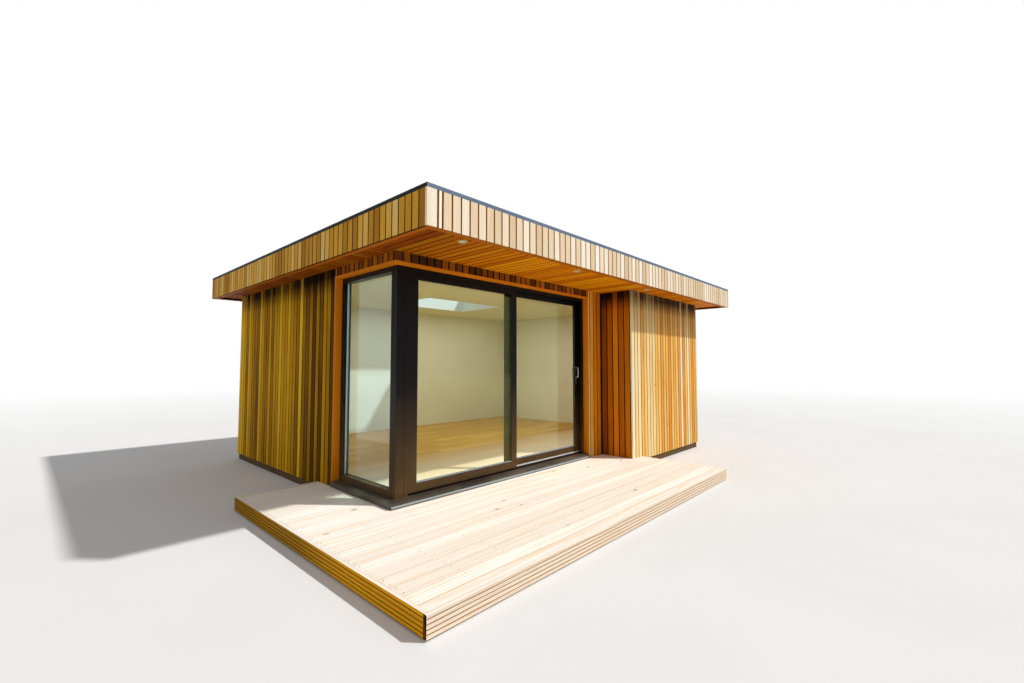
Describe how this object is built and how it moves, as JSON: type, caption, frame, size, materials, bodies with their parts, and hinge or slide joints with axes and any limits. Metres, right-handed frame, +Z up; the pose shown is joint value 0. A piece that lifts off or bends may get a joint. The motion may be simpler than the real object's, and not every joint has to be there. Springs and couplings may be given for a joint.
{
  "type": "garden office pod",
  "caption": "Flat-roofed timber-clad garden office building with a glazed corner, a sliding glass door, a bay beside it, deep lit eaves and a low wraparound deck",
  "frame": {"origin": "ground level under the middle of the whole outline, roof and deck together", "axes": "X runs to the right along the glazed front, Y runs from the front to the rear, Z is up"},
  "size_m": [6.683, 5.876, 2.689],
  "materials": {
    "larch_cladding": "sawn larch boards with narrow gaps, oiled, weathered in streaks",
    "larch_soffit": "oiled larch boards, warm orange brown",
    "deck_timber": "pale softwood deck boards, finely grooved and sun bleached",
    "frame_timber": "rough sawn treated structural timber",
    "oriented_board": "pressed strand board over insulation",
    "floor_timber": "satin plank floor",
    "interior_paint": "matt off-white paint on smooth board",
    "black_frame": "satin black powder coat",
    "grey_trim": "blue-grey coated folded metal",
    "track_metal": "mill finish aluminium",
    "steel_hardware": "brushed stainless steel",
    "roller_plastic": "hard nylon wheels",
    "glazing": "clear sealed double glazing, faint green edge",
    "roof_sheet": "dark rubber roof sheet",
    "light_fitting": "pale satin bezel with a frosted lens"
  },
  "bodies": {
    "pod": {"base_frame": "frame_timber", "deck_frame": "frame_timber", "deck_boards": "deck_timber", "deck_edge_boards": "deck_timber", "floor_deck": "oriented_board", "room_floor": "floor_timber", "left_wall": "oriented_board", "rear_wall": "oriented_board", "right_wall": "oriented_board", "bay_front_wall": "oriented_board", "bay_return_wall": "oriented_board", "front_pier": "oriented_board", "lintels": "frame_timber", "wall_linings": "interior_paint", "ceiling": "interior_paint", "left_cladding": "larch_cladding", "rear_cladding": "larch_cladding", "right_cladding": "larch_cladding", "bay_cladding": "larch_cladding", "return_cladding": "larch_cladding", "opening_cladding": "larch_cladding", "opening_liner": "larch_soffit", "roof_panel": "oriented_board", "roof_membrane": "roof_sheet", "fascias": "larch_cladding", "roof_edge_trim": "grey_trim", "soffit": "larch_soffit", "soffit_lights": "light_fitting", "rooflight_kerb": "frame_timber", "rooflight_frame": "black_frame", "rooflight_glass": "glazing", "corner_post": "black_frame", "door_frame": "black_frame", "threshold": "black_frame", "track_lips": "black_frame", "track_rails": "track_metal", "sill": "black_frame", "fixed_leaf_frame": "black_frame", "fixed_leaf_glass": "glazing", "corner_window_frame": "black_frame", "corner_window_glass": "glazing"},
    "sliding_leaf": {"sliding_leaf_frame": "black_frame", "sliding_leaf_glass": "glazing", "door_rollers": "roller_plastic", "pull_handles": "steel_hardware"}
  },
  "joints": [
    {"name": "door_slide", "type": "slide", "parent": "pod", "child": "sliding_leaf", "axis": [-1, 0, 0], "range_m": [0, 1.2]}
  ]
}
